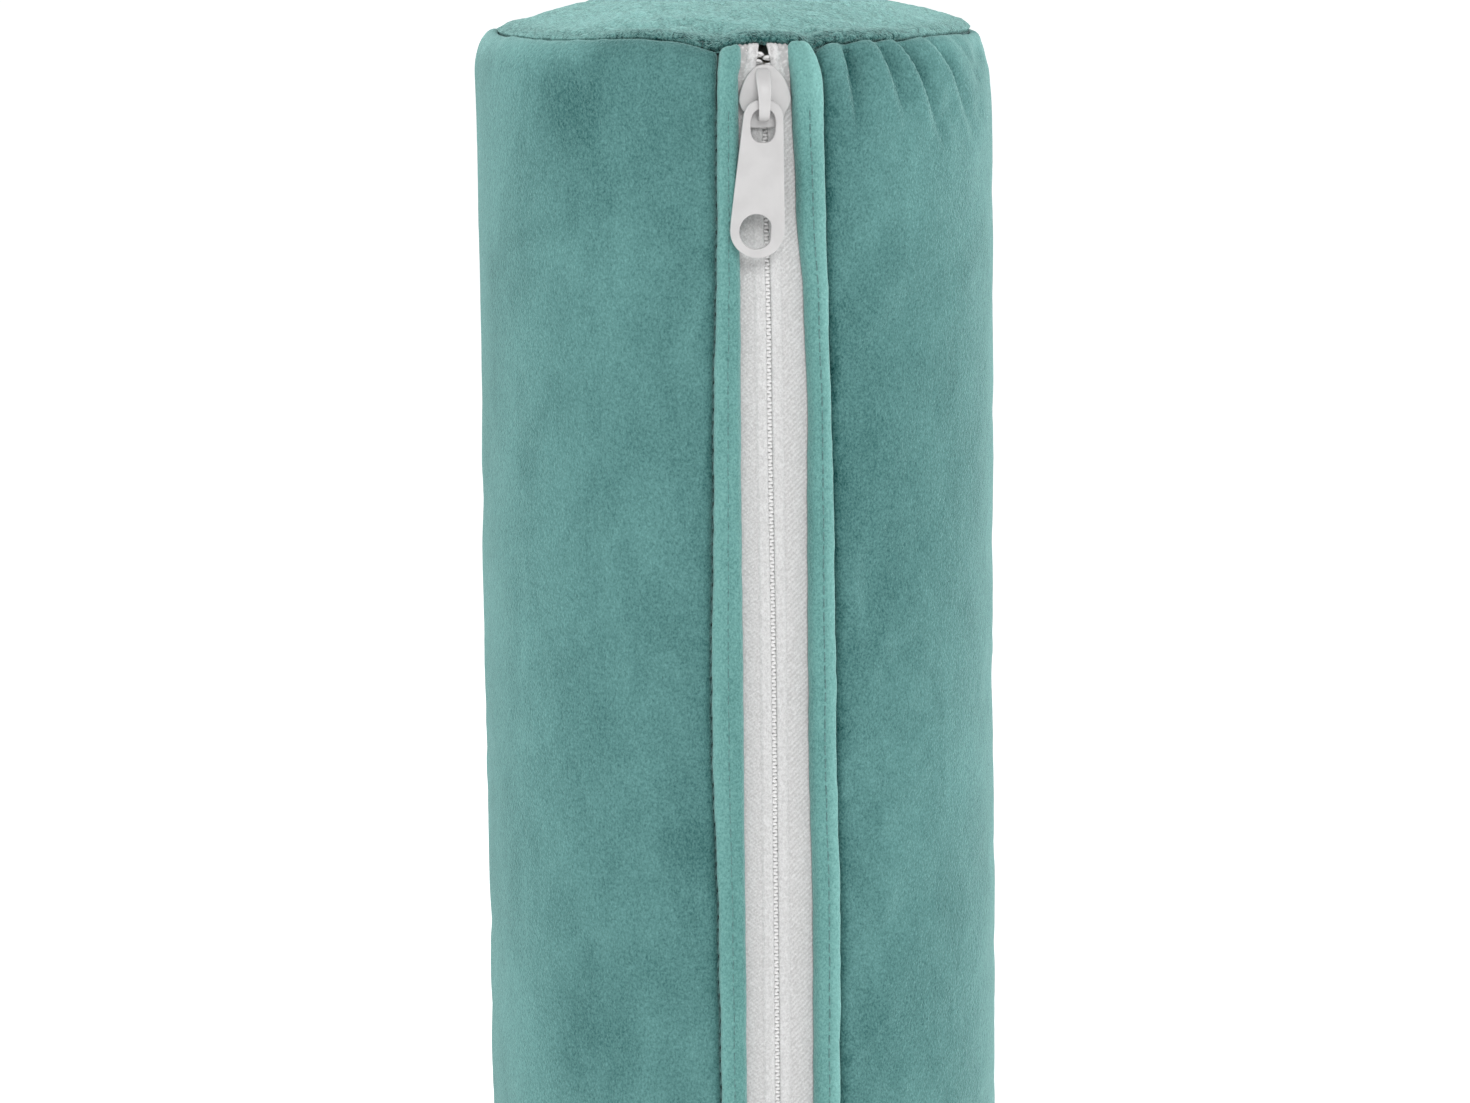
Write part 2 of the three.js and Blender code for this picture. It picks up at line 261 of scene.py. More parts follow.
def on_cushion(u, r, z):
    """The point at distance u round the cushion from the zip's middle line."""
    angle = u / RADIUS
    return (r * math.sin(angle), -r * math.cos(angle), z)


def seam_frame(u, radius, z):
    """A point of a seam that runs up the cushion, and the directions outwards and across."""
    return [Vector(on_cushion(*p)) for p in ((u, radius, z), (u, 1, 0), (u + AROUND / 4, 1, 0))]


def from_front(u):
    """The same place counted from minus half to half of the way round."""
    return u if u < AROUND / 2 else u - AROUND


NEAR_EDGE = (0, 0.12, 0.35, 0.7, 1.2, 1.9, 2.8, 3.8, 5)  # distances in from a sewn edge


def edge_steps(total, fine, coarse, fine_up_to=60):
    """Distances across a panel: close together at both edges, fine beside the first, then coarse."""
    last = NEAR_EDGE[-1]
    middle = steps(last, fine_up_to, fine)[1:] + steps(fine_up_to, total - last, coarse)[1:-1]
    return list(NEAR_EDGE) + middle + [total - d for d in reversed(NEAR_EDGE)]


# ---- where the zip's lines run: (millimetres below the upper seam, distance from the middle) ----
GROOVE = [(0, 0), (20, 0.1), (60, 0.6), (130, 1.1), (200, 1.2), (300, 0.8), (420, 0.2)]
INNER_RIGHT = [(0, 4.9), (6, 5.2), (30, 6.1), (49, 7.5), (69, 8.2), (92, 8.0), (131, 8.0), (171, 8.6),
               (203, 8.5), (300, 7.4), (420, 6.4)]
INNER_LEFT = [(0, 4.4), (3, 4.6), (6, 5.1), (42, 5.1), (92, 5.2), (131, 5.15), (171, 5.1), (203, 5.1),
              (300, 5.4), (420, 5.8)]
SEED_RIGHT, SEED_LEFT = 2.2, 6.1  # of the small waver of each strip's sewn edge
SEAM_RIGHT = [(0, 10.9), (11, 11.7), (30, 11.9), (49, 12.3), (92, 13.3), (131, 13.5), (171, 14.1),
              (203, 13.8), (300, 12.8), (420, 12)]
SEAM_LEFT = [(0, 9.3), (18, 9.5), (49, 9.9), (69, 10.6), (131, 11.5), (171, 10.6), (203, 10.3),
             (300, 11), (420, 11.4)]


def zip_line(table, z, seed, amount=0.22):
    """A zip line's distance from the middle at height z, with the small waver of a sewn line."""
    waver = amount * (wobble(0, seed, z, 7, seed) + 0.6 * wobble(0, seed, z, 2.6, seed + 4))
    return along(table, SEAM_Z - z) + waver


def seam_dip(u):
    """How far the upper seam runs below its level: down at the strips' seams, up over the tapes."""
    left = 1.25 * bump(u + 10.4, 4.2) - 0.85 * bump(u + 28, 13)
    right = 1.3 * bump(u - 10.7, 1.6)
    small = 0.2 * wobble(u, 0, 0, 9, 12.4) + 0.08 * wobble(u, 0, 0, 2.5, 3.9)
    return left + right - 0.6 * bump(u, 7) + small


# ---- the velvet side panel ----
# Gathers at the upper seam right of the zip: (place at the seam, place lower down, length, depth)
PLEATS = [(16.9, 18.0, 26, 3.2), (24.3, 28.0, 22, 2.4), (29.6, 37.2, 27, 3.2), (37.8, 48, 26, 2.6),
          (46, 54, 15, 0.8)]
# Shallow hollows: (place round, millimetres below the seam, width, height, depth, darker by as painted shade)
DENTS = [(-38, 12, 9, 9, 0.8, 0.26), (-62, 60, 30, 40, 0.5, 0.1), (60, 120, 25, 40, 0.4, 0.1),
         (-30, 150, 20, 50, 0.35, 0.1), (96, 30, 30, 30, 0.5, 0.1), (-110, 200, 40, 60, 0.5, 0.1),
         (130, 250, 40, 50, 0.5, 0.1), (160, 90, 40, 60, 0.4, 0.1), (-40, 192, 10, 14, 0.3, 0.2)]


def pleat_shape(u, from_top):
    """(height, tone) of the gathers at the upper seam: the tone is painted shade in each valley and a faint
    painted highlight on each ridge.
    """
    height, tone = 0.0, 0.0
    for at_seam, lower, length, depth in PLEATS:
        fade = 1 - ease(from_top / length)
        if fade <= 0:
            continue
        across = u - (at_seam + (lower - at_seam) * from_top / (0.6 * length))
        valley = bump(across, 0.65 if across < 0 else 2.4)
        ridge = bump(across + 2.2, 1.8)
        fade *= 0.12 + 0.88 * ease(from_top / 5)
        height += fade * 0.85 * depth * (0.3 * ridge - valley)
        # painted shade in the valley, a faint painted highlight on the ridge
        tone += fade * depth * (0.03 * ridge - 0.19 * bump(across + 0.1, 0.8 if across < 0 else 1.5))
    return height, tone


def side_relief(u, z, from_top):
    """How far the side panel's surface stands off the even cylinder, and how light or dark it is painted:
    painted shade in the gathers and hollows, a painted highlight along the shoulder away from the zip, and a
    lighter band along the fold beside the right strip.
    """
    total, tone = pleat_shape(u, from_top)
    for place, below, width, height, depth, darker in DENTS:
        gap = (u - place + AROUND / 2) % AROUND - AROUND / 2
        hollow = bump(gap, width) * bump(SEAM_Z - z - below, height)
        total -= depth * hollow
        # painted shade in the hollow
        tone -= darker * hollow
    slack = ease((u - 38) / 30) * ease((200 - u) / 60)
    total -= 1.3 * slack * bump(from_top - 6, 8)
    x, y, _ = on_cushion(u, RADIUS, z)
    total += 0.2 * wobble(x, y, z, 34, 1.7) + 0.12 * wobble(x, y, z, 13, 5.2)
    total += 0.05 * wobble(x, y, z, 2.2, 7.7)
    total += bump(from_top, 6) * 0.3 * wobble(x, y, 0, 4.2, 8.3)
    tone += 0.2 * bump(u - 14.2, 2.4) * (1 - ease(from_top / 20))
    # painted highlight along the shoulder just below the upper seam, away from the zip
    tone += 0.3 * bump(from_top - 3, 3) * ease((min(u, AROUND - u) - 30) / 10)
    return total, tone


# ---- cloth simulation ----
CLOTH = {"quality": 5, "mass": 0.3, "tension_stiffness": 25, "compression_stiffness": 25,
         "shear_stiffness": 12, "bending_stiffness": 0.8, "use_pressure": True,
         "uniform_pressure_force": 4, "vertex_group_mass": "sewn", "pin_stiffness": 1}
CLOTH_SLACK = 0.012  # share of extra cloth in a panel
CLOTH_FRAMES = 20


def simulate(name, rows, wrap, held, cap):
    """Swells a coarse copy of a panel under pressure, held at its seams, and returns its moves.

    held(i, j) is how firmly a point of the grid is sewn down, and cap the most that one may move.
    """
    coarse = grid_object(name, rows, wrap)
    count = len(rows[0])
    group = coarse.vertex_groups.new(name="sewn")
    for i in range(len(rows)):
        for j in range(count):
            group.add([i * count + j], held(i, j), "REPLACE")
    cloth = coarse.modifiers.new("cloth", "CLOTH")
    for key, value in CLOTH.items():
        setattr(cloth.settings, key, value)
    cloth.settings.shrink_min = -CLOTH_SLACK
    cloth.settings.effector_weights.gravity = 0
    cloth.collision_settings.use_collision = False
    cloth.collision_settings.use_self_collision = False
    scene = bpy.context.scene
    for number in range(1, CLOTH_FRAMES + 1):
        scene.frame_set(number)
    graph = bpy.context.evaluated_depsgraph_get()
    settled = coarse.evaluated_get(graph).to_mesh()
    moves = []
    for i in range(len(rows)):
        line = []
        for j in range(count):
            k = i * count + j
            move = (settled.vertices[k].co - coarse.data.vertices[k].co) / MM
            if move.length > cap:
                move *= cap / move.length
            line.append(move)
        moves.append(line)
    scene.frame_set(1)
    bpy.data.objects.remove(coarse)
    return moves


def sample(moves, i, j, wrap=False):
    """The simulated move at a place between the coarse grid's points, as a smooth curve."""
    rows, count = len(moves), len(moves[0])
    row, column = int(i), int(j)
    lines = []
    for a in range(row - 1, row + 3):
        line = moves[min(max(a, 0), rows - 1)]
        points = []
        for b in range(column - 1, column + 3):
            points.append(line[b % count if wrap else min(max(b, 0), count - 1)])
        lines.append(curve_through(*points, j - column))
    return curve_through(*lines, i - row)


def side_point(outline, u, s, edge):
    """A point of the side panel, at a distance in from the nearer of its long sewn edges."""
    r, z, nr, nz = outline.at(s)
    from_top = outline.length - s
    right = u < 40
    low = ease(from_top / 30)
    wide = 2.6 + 3.0 * low if right else 3.2
    away = ease((min(u, AROUND - u) - 26) / 14)
    turn = min(roll(edge, 1.2 + 0.8 * low, 1.5), roll(s, 2.2, 1.4), roll(from_top, 1.6, 1.3 - 0.6 * away))
    turn -= 0.6 * max(0.0, 1 - edge / wide) ** 1.5
    pits = 0.35 * max(0.0, wobble(u, z, 0, 2.1, 15.2)) * bump(edge - 1.2, 1.6)
    relief, tone = side_relief(u, z, from_top)
    lift = turn + relief * ease(edge / 2) - pits
    drop = (seam_dip(u) + seam_dip(u - AROUND)) * bump(from_top, 5)
    # painted shade along the strips' seams, wider beside the right strip lower down
    tone -= 0.22 * bump(edge, 1.0) + (0.08 * low * bump(edge, 3.5) if right else 0)
    # painted shade under the upper seam, mostly at the front, and in the stitch pits
    tone -= 0.25 * (1 - 0.9 * away) * bump(from_top, 0.7) + (1.3 if right else 0.8) * pits
    return on_cushion(u, r + nr * lift, z + nz * lift - drop), tone


def make_side_panel():
    outline = Outline(RADIUS)
    total = outline.length
    nominal = AROUND - 22

    def place(d, z):
        right = zip_line(SEAM_RIGHT, z, SEED_RIGHT)
        left = zip_line(SEAM_LEFT, z, SEED_LEFT)
        return right + d * (AROUND - right - left) / nominal

    coarse_size = 3.4
    coarse_s = steps(0, total, coarse_size)
    coarse_d = steps(0, nominal, coarse_size)
    rows = []
    for s in coarse_s:
        z = outline.at(s)[1]
        rows.append([side_point(outline, place(d, z), s, min(d, nominal - d))[0] for d in coarse_d])
    last_row, last_column = len(coarse_s) - 1, len(coarse_d) - 1

    def held(i, j):
        if i in (0, last_row) or j in (0, last_column):
            return 1.0
        return 0.35 if outline.at(coarse_s[i])[1] < FOOT_Z + 14 else 0.12

    moves = simulate("side_cloth", rows, False, held, 0.8)

    heights = list(NEAR_EDGE) + steps(5, 25, 1.6)[1:] + steps(25, total - 25, 1.7)[1:]
    heights += steps(total - 25, total - 5, 0.7)[1:] + [total - d for d in reversed(NEAR_EDGE)][1:]
    across = edge_steps(nominal, 0.7, 2.2)
    rows, nap_and_painted_light = [], []
    for s in heights:
        z = outline.at(s)[1]
        i = s / total * last_row
        row, shades = [], []
        for d in across:
            u = place(d, z)
            point, tone = side_point(outline, u, s, min(d, nominal - d))
            shades.append(tone)
            move = sample(moves, min(i, last_row - 1e-6), min(d / nominal * last_column, last_column - 1e-6))
            seam = min(d, nominal - d, s, total - s)
            row.append(tuple(Vector(point) + move * (0.2 + 0.8 * bump(seam, 15))))
        rows.append(row)
        nap_and_painted_light.append(shades)
    return thicken(grid_object("velvet_side_panel", rows, nap_and_painted_light=nap_and_painted_light), VELVET_THICK)


# ---- the folded strips beside the zip ----
STITCH_LINE = 0.46  # where a strip's stitches run, as a share of its width


def strip_lift(u, z, t, width, seed, bulge):
    """How far a strip's surface stands off its radius at a fraction t of its width."""
    d = t * width
    crown = bulge * (math.sin(math.pi * t) ** 0.7 * (0.25 + t) if t < 1 else 0)
    rough = 0.2 * wobble(u, z, 0, 8, seed + 1) + 0.08 * wobble(u, z, 0, 1.7, seed + 2)
    turn = roll(d, 1.2, 2.4) + roll(width - d, 1.2, 2.0)
    return turn + crown + rough - 0.18 * bump(d - STITCH_LINE * width, 0.35)


def strip_edges(z, sign, inner, outer, seed):
    far = zip_line(outer, z, SEED_RIGHT if sign > 0 else SEED_LEFT) - 0.12
    near = zip_line(inner, z, seed, 0.12)
    return near, far - near


def make_strip(name, sign, inner, outer, seed, bulge):
    """A folded velvet band beside the zip: rounded at both edges."""
    outline = Outline(STRIP_RADIUS)
    total = outline.length
    heights = steps(0, total - 16, 1.2) + steps(total - 16, total, 0.6)[1:]
    across = [0, 0.012, 0.04, 0.08, 0.13, 0.2, 0.28, 0.37, 0.46, 0.55, 0.64, 0.73, 0.81, 0.88, 0.94, 0.98, 1]
    rows, nap_and_painted_light = [], []
    for s in heights:
        r, z, nr, nz = outline.at(s)
        near, width = strip_edges(z, sign, inner, outer, seed)
        row, shades = [], []
        top = 0.3 * ease(1 - (SEAM_Z - z) / 22)
        for t in across:
            u = sign * (near + t * width)
            lift = strip_lift(u, z, t, width, seed, bulge) + roll(total - s, 1.6, 1.3) + roll(s, 1.6, 1.2)
            drop = seam_dip(u) * bump(total - s, 4)
            row.append(on_cushion(u, r + nr * lift, z + nz * lift - drop))
            # painted highlight on the bulging outer half and painted shade on the inner half, lighter near
            # the upper seam
            shade = 0.35 * bulge * (ease((t - 0.35) / 0.4) - 0.35) + top * (0.3 + bulge) + 0.04 + 0.18 * bulge
            # painted shade at both rolled edges
            shades.append(shade - 0.15 * bump(t * width, 0.5) - 0.2 * bump((1 - t) * width, 0.4))
        rows.append(row if sign > 0 else row[::-1])
        nap_and_painted_light.append(shades if sign > 0 else shades[::-1])
    return thicken(grid_object(name, rows, nap_and_painted_light=nap_and_painted_light), STRIP_THICK)


def strip_stitch_path(sign, inner, outer, seed, bulge, proud):
    """The path of the stitches along a strip's middle."""
    def path_at(s):
        z = THREAD_LOW + s
        near, width = strip_edges(z, sign, inner, outer, seed)
        u = sign * (near + STITCH_LINE * width)
        return seam_frame(u, STRIP_RADIUS + strip_lift(u, z, STITCH_LINE, width, seed, bulge) + proud, z)
    return path_at


# ---- the end panels ----
def crown_height(r, rim, crown):
    return crown * max(0.0, 1 - (r / rim) ** 2) ** 0.85


def make_end_upper():
    rim = SEAM_RADIUS + 0.1
    columns = 300

    def place(r, j, count):
        u = from_front(AROUND * j / count)
        x, y, _ = on_cushion(u, r, 0)
        edge = rim - r
        high = SEAM_Z + crown_height(r, rim, CROWN)
        soft = 0.5 * wobble(x, y, 0, 26, 2.4) + 0.22 * wobble(x, y, 0, 9, 6.6)
        curl = 0.2 * wobble(x * 1.4, y * 0.7, 0, 2.0, 4.8) + 0.12 * wobble(x * 1.4, y * 0.7, 0, 1.1, 1.3)
        pucker = 0.22 * bump(edge - 1, 2.6) * wobble(x, y, 0, 3.6, 9.1)
        away = ease((abs(u) - 26) / 14)
        over = (0.6 - 0.35 * away) * bump(edge - 1.8, 1.6)
        high += soft * ease(edge / 10) + curl * ease(edge / 1.5) + pucker + over - seam_dip(u) * bump(edge, 5)
        out = 1 + ((0.4 - 0.32 * away) * bump(edge - 0.6, 0.8)) / rim
        # painted shade in the band under the rim's roll; the soft swells, curls and puckers set the crushed
        # pile's lighter and darker lie
        tone = 0.62 * ease((edge - 1.5) / 6) + 0.25 * soft + 1.5 * curl + 0.5 * pucker
        # painted highlight near the rim at the sides and back, painted shade along the rim at the front
        tone += 0.25 * away * bump(edge, 7) - 0.3 * (1 - away) * bump(edge, 2.0)
        return Vector((x * out, y * out, high)), tone

    def radius_at(share):
        return rim * math.sin(math.pi / 2 * share)

    coarse_levels, coarse_count = 16, 72
    last = coarse_levels - 1
    coarse = []
    for i in range(1, coarse_levels + 1):
        coarse.append([place(radius_at(i / coarse_levels), j, coarse_count)[0] for j in range(coarse_count)])
    moves = simulate("end_cloth", coarse, True, lambda i, j: 1.0 if i == last else 0.1, 0.7)

    levels = 70
    rows, nap_and_painted_light = [], []
    for i in range(1, levels + 1):
        row, shades = [], []
        for j in range(columns):
            radius = radius_at(i / levels)
            point, tone = place(radius, j, columns)
            shades.append(tone)
            at = min(max(coarse_levels * i / levels - 1, 0), last - 1e-6)
            move = sample(moves, at, coarse_count * j / columns, True)
            row.append(tuple(point + move * ease(i / 8) * ease((rim - radius) / 7)))
        rows.append(row)
        nap_and_painted_light.append(shades)
    rows.append([(p[0] * 0.985, p[1] * 0.985, p[2] - 1.2) for p in rows[-1]])
    # the row turned under at the seam is painted in shade
    nap_and_painted_light.append([-0.5] * columns)
    obj = grid_object("velvet_end_upper", rows, True, nap_and_painted_light)
    close_middle(obj, columns, sum(p[2] for p in rows[0]) / columns, 0)
    return thicken(obj, VELVET_THICK)


def close_middle(obj, columns, height, first):
    """Closes a ring of quads with a fan round a middle point, and turns all faces outwards."""
    work = bmesh.new()
    work.from_mesh(obj.data)
    middle = work.verts.new((0, 0, height * MM))
    work.verts.ensure_lookup_table()
    for j in range(columns):
        work.faces.new((middle, work.verts[first + j], work.verts[first + (j + 1) % columns]))
    bmesh.ops.recalc_face_normals(work, faces=work.faces)
    work.to_mesh(obj.data)
    work.free()
    upwards = sum(p.normal.z * p.area for p in obj.data.polygons) > 0
    if upwards != (height > RADIUS):
        obj.data.flip_normals()


def make_end_lower():
    """The lower panel, pressed flat by the cushion's weight, with its edge turned up."""
    rim = SEAM_RADIUS - 0.3
    columns = 120
    radii = [rim * i / 30 for i in range(1, 28)] + [rim - 2.2, rim - 1.4, rim - 0.7, rim - 0.2, rim]
    rows = []
    for r in reversed(radii):
        turn = -roll(rim - r, 2.6, 1.6)
        row = []
        for j in range(columns):
            x, y, _ = on_cushion(AROUND * j / columns, r, 0)
            row.append((x, y, turn + 0.12 * abs(wobble(x, y, 0, 12, 3.3)) * ease((rim - r) / 8)))
        rows.append(row)
    obj = grid_object("velvet_end_lower", rows, wrap=True)
    close_middle(obj, columns, 0, (len(rows) - 1) * columns)
    return thicken(obj, 1.5)


# ---- the zip ----
OPENING = [(0, 0.7), (1.6, 1.0), (3.8, 1.4), (9, 1.4), (14, 0.44), (430, 0.44)]  # by depth below the seam


def groove_half(z):
    """Half of the opening between the tapes: closed below the slider, parted just above it."""
    return along(OPENING, SEAM_Z - z)


TAPE_ACROSS = [0, 0.02, 0.045, 0.08, 0.12, 0.17] + steps(0.22, 1, 0.039)


def make_tape(name, sign, inner):
    outline = Outline(TAPE_RADIUS, 2.6, SEAM_Z - 0.4, 5.5, 9.3)
    total = outline.length
    heights = steps(0, total - 16, 0.4) + steps(total - 16, total, 0.3)[1:]
    rows, nap_and_painted_light = [], []
    for s in heights:
        r, z, nr, nz = outline.at(s)
        start = along(GROOVE, SEAM_Z - z) * sign + groove_half(z)
        reach = along(inner, SEAM_Z - z) + 1.2 - start
        row, shades = [], []
        loose = ease((z - SEAM_Z + 14) / 4)
        for t in TAPE_ACROSS:
            d = t * reach
            band = 0.22 * ease((2.35 - d) / 0.35) + 0.1 * bump(d - 0.7, 0.45)
            turn = roll(d, 0.4, 0.4)
            weave = 0.12 * wave(z - d * 0.9, 1.05) * ease((d - 2.3) / 0.3)
            knit = 0.3 * loose * wobble(d * 1.3, z, 0, 0.9, 3)
            rough = 0.03 * wobble(d * 2, z, 0, 0.9, 3) + 0.05 * wobble(d, z, 0, 9, 5)
            lift = turn + band + weave + knit + rough
            row.append(on_cushion(sign * (start + d), r + nr * lift, z + nz * lift))
            edge_ribs = loose * ease((d - reach + 2.6) / 0.6) * wave(z, 0.85)
            line = 0.35 * bump(d - 2.4, 0.16) * (0.2 + 0.8 * wave(z, 1.3))
            outside = ease((d - 2.4) / 0.3)
            # painted highlight on the tape's edge at the groove, against the groove's shadow
            shade = 0.16 * (1 - outside) - line + 0.25 * bump(d, 0.2) + 2.6 * knit - 0.9 * edge_ribs
            shades.append(shade - 0.1 + 0.5 * outside * (weave / 0.12 - 0.5))
        rows.append(row if sign > 0 else row[::-1])
        nap_and_painted_light.append(shades if sign > 0 else shades[::-1])
    return thicken(grid_object(name, rows, nap_and_painted_light=nap_and_painted_light), TAPE_THICK)


def skin(work, rings):
    """Joins rings of vertices with quads and closes the first ring."""
    count = len(rings[0])
    for first, second in zip(rings, rings[1:]):
        for k in range(count):
            n = (k + 1) % count
            work.faces.new((first[k], first[n], second[n], second[k]))
    work.faces.new(rings[0][::-1])


def add_tube(work, path, radius, sides=6, taper=0.0):
    """A round thread along a list of points, in millimetres, with closed ends."""
    rings = []
    count = len(path)
    for i, point in enumerate(path):
        here = Vector(point)
        ahead = Vector(path[min(i + 1, count - 1)]) - Vector(path[max(i - 1, 0)])
        ahead.normalize()
        side = ahead.cross(Vector((0.31, 0.93, 0.19))).normalized()
        other = ahead.cross(side)
        size = radius * (1 - taper if i in (0, count - 1) else 1)
        ring = []
        for k in range(sides):
            a = 2 * math.pi * k / sides
            ring.append(work.verts.new((here + (side * math.cos(a) + other * math.sin(a)) * size) * MM))
        rings.append(ring)
    skin(work, rings)
    work.faces.new(rings[-1])


COIL_PITCH = 1.4
COIL_MIDDLE = 0.65  # from a tape's edge to the middle of its coil
COIL_HALF = (1.75, 0.3)  # half of a turn's width and depth, at the middle of the wire
COIL_OUT = 47.82  # distance of the coils' middle from the axis
COIL_WIRE = 0.35
CORD_OUT = 47.6
CORD_STRANDS = 3


def coil_middle(z, sign):
    return along(GROOVE, SEAM_Z - z) + sign * (COIL_MIDDLE + groove_half(z))


def make_coil(name, sign):
    """A flattened nylon helix behind the tape; the two sides' turns lie between each other."""
    turns_low, turns_high = 4.5, SEAM_Z - 2.2
    per_turn = 10
    curl_height, curl_depth = 9, 2.4
    path = []
    for i in range(int((turns_high - turns_low) / COIL_PITCH * per_turn) + 1):
        z = turns_low + COIL_PITCH * i / per_turn + (0.0 if sign > 0 else COIL_PITCH / 2)
        a = 2 * math.pi * i / per_turn
        curl = max(0.0, curl_height - (SEAM_Z - z)) / (curl_height + 0.5)
        sink = curl_depth * (1 - math.sqrt(max(0.0, 1 - curl ** 2)))
        x = coil_middle(z, sign) - sign * COIL_HALF[0] * math.cos(a)
        path.append((x, -(COIL_OUT - sink + COIL_HALF[1] * math.sin(a)), z))
    work = bmesh.new()
    add_tube(work, path, COIL_WIRE)
    return finished(name, work)


def make_cord(name, sign):
    """The twisted cord that runs through the coil."""
    twist, strand_radius = 3.2, 0.15
    work = bmesh.new()
    for strand in range(CORD_STRANDS):
        path = []
        for z in steps(9, SEAM_Z - 11, 0.45):
            a = 2 * math.pi * (z / twist + strand / CORD_STRANDS)
            path.append((coil_middle(z, sign) + 0.16 * math.cos(a), -(CORD_OUT + 0.1 * math.sin(a)), z))
        add_tube(work, path, strand_radius, 5)
    return finished(name, work)


def make_stitches(name, path_at, length, pitch, thick, slant=0.0):
    """A row of separate stitches: path_at(s) gives (point, outwards, across) along the seam."""
    work = bmesh.new()
    for i in range(int(length / pitch)):
        s = (i + 0.5) * pitch
        points = []
        for t in (-0.42, -0.3, 0, 0.3, 0.42):
            point, up, across = path_at(s + t * pitch)
            sink = -0.28 if abs(t) > 0.35 else 0.0
            points.append(tuple(Vector(point) + Vector(up) * sink + Vector(across) * slant * t))
        add_tube(work, points, thick / 2, taper=0.35)
    return finished(name, work)


def seam_ring(radius, z, upwards, dips):
    """The path of a seam round the cushion; dips follows the upper seam's rise and fall."""
    def path_at(s):
        u = from_front((s if dips else s * RADIUS / radius) % AROUND)
        point = Vector(on_cushion(u, radius, z - (seam_dip(u) if dips else 0)))
        return point, Vector((0, 0, 1 if upwards else -1)), Vector(on_cushion(u, 1, 0))
    return path_at


THREAD_LOW = 8  # height at which the stitches beside the zip start
THREAD_RUN = SEAM_Z - 20


def seam_up(sign, table, radius, seed, shift):
    """The path of the seam between a strip and the side panel."""
    def path_at(s):
        z = THREAD_LOW + s
        return seam_frame(sign * (zip_line(table, z, seed) + shift), radius, z)
    return path_at


def make_bar_tack():
    """Rows of thread across the zip's lower end, held by upright threads at both sides."""
    low, high = node_box("bar_tack_lower")
    rows, uprights = 7, 5
    work = bmesh.new()
    for i in range(rows):
        z = low[2] + (high[2] - low[2]) * (i + 0.5) / rows
        reach = 3.9 if i % 2 else 3.5
        path = []
        for x in steps(-reach, reach, 0.6):
            out = TAPE_RADIUS + 0.42 - 0.5 * (abs(x) / reach) ** 6
            path.append((x, -out, z + 0.12 * math.sin(x * 5)))
        add_tube(work, path, 0.19)
    out = TAPE_RADIUS + 0.5
    for side in (-1, 1):
        for k in range(uprights):
            x = side * (3.3 - 0.32 * k)
            add_tube(work, [(x, -out, low[2]), (x, -out, high[2])], 0.15)
    return finished("bar_tack_threads", work)


# ---- slider and pull tab ----
def closed_curve(points):
    """A smooth closed line through the points."""
    count, per_span = len(points), 6
    line = []
    for i in range(count):
        corners = [Vector(points[(i + k - 1) % count]) for k in range(4)]
        line += [curve_through(*corners, j / per_span) for j in range(per_span)]
    return line


def add_slab(work, outline, low, high, edge, crown=0.0, centre=(0.0, 0.0)):
    """A plate in X and Z between two distances out from the axis, with rounded edges."""
    middle = Vector(centre)
    size = max((p - middle).length for p in outline)
    levels = [(edge * (1 - c), low + edge * (1 + s)) for c, s in arc(-90, 0, 30)]
    levels += [(edge * (1 - c), high - edge * (1 - s)) for c, s in arc(0, 90, 30)]
    levels += [(size * f, high + crown * (1 - (1 - f) ** 2)) for f in (0.35, 0.6, 0.8)]
    rings = []
    for inset, out in levels:
        ring = []
        for p in outline:
            arm = p - middle
            q = middle + arm * max(0.0, 1 - inset / size * (size / max(arm.length, 1e-6)) ** 0.3)
            ring.append(work.verts.new(Vector((q.x, -out, q.y)) * MM))
        rings.append(ring)
    skin(work, rings)
    top = work.verts.new(Vector((middle.x, -(high + crown), middle.y)) * MM)
    last = rings[-1]
    for k in range(len(last)):
        work.faces.new((last[k], last[(k + 1) % len(last)], top))


def add_loft(work, sections):
    """A closed bar through rounded sections: (centre, half width along X, half thickness, direction)."""
    rings = []
    for centre, half_width, half_thick, normal in sections:
        ring = []
        for c, s in arc(11.25, 348.75, 22.5):
            x = half_width * signed_power(c, 0.45)
            h = half_thick * signed_power(s, 0.6)
            ring.append(work.verts.new((Vector(centre) + Vector((x, 0, 0)) + Vector(normal) * h) * MM))
        rings.append(ring)
    skin(work, rings)
    work.faces.new(rings[-1])


# Half of the slider's outline: (distance from the middle, height over its widest line)
SLIDER_HALF = [(1.1, 5.95), (2.4, 5.1), (3.7, 3.5), (4.6, 1.3), (4.95, -0.5), (4.6, -1.9), (3.9, -3.1),
               (3.55, -4.4), (3.45, -5.4), (2.9, -5.85)]
SLIDER_TOP = 6.0  # the nose above the widest line
OUTER_PLATE, INNER_PLATE = (49.0, 50.1), (44.0, 45.2)  # from and to, out from the axis
INNER_SCALE = 0.95
POST = [(0.45, 1.4), (0.45, 4.2), (0, 4.8), (-0.45, 4.2), (-0.45, 1.4), (0, 0.8)]
RAIL = [(-0.4, -2.4), (0.4, -2.4), (0.4, -0.2), (-0.4, -0.2)]
RAIL_X = 4.1
BRIDGE_X = -0.45  # the bridge stands a little to the left of the middle
# The bridge's sections: (height, distance out), half width, half thickness
BRIDGE = [((5.2, 49.8), 0.95, 0.3), ((4.9, 50.25), 1.2, 0.5), ((4.3, 50.8), 1.4, 0.68),
          ((3.5, 51.5), 1.42, 0.75), ((2.5, 52.3), 1.36, 0.72), ((1.3, 52.95), 1.26, 0.62),
          ((0, 53.25), 1.16, 0.56), ((-1.4, 53.25), 1.1, 0.55), ((-2.7, 52.95), 1.06, 0.55),
          ((-3.6, 52.2), 1.06, 0.55), ((-4.0, 51.2), 1.08, 0.5), ((-4.1, 49.9), 1.08, 0.5)]


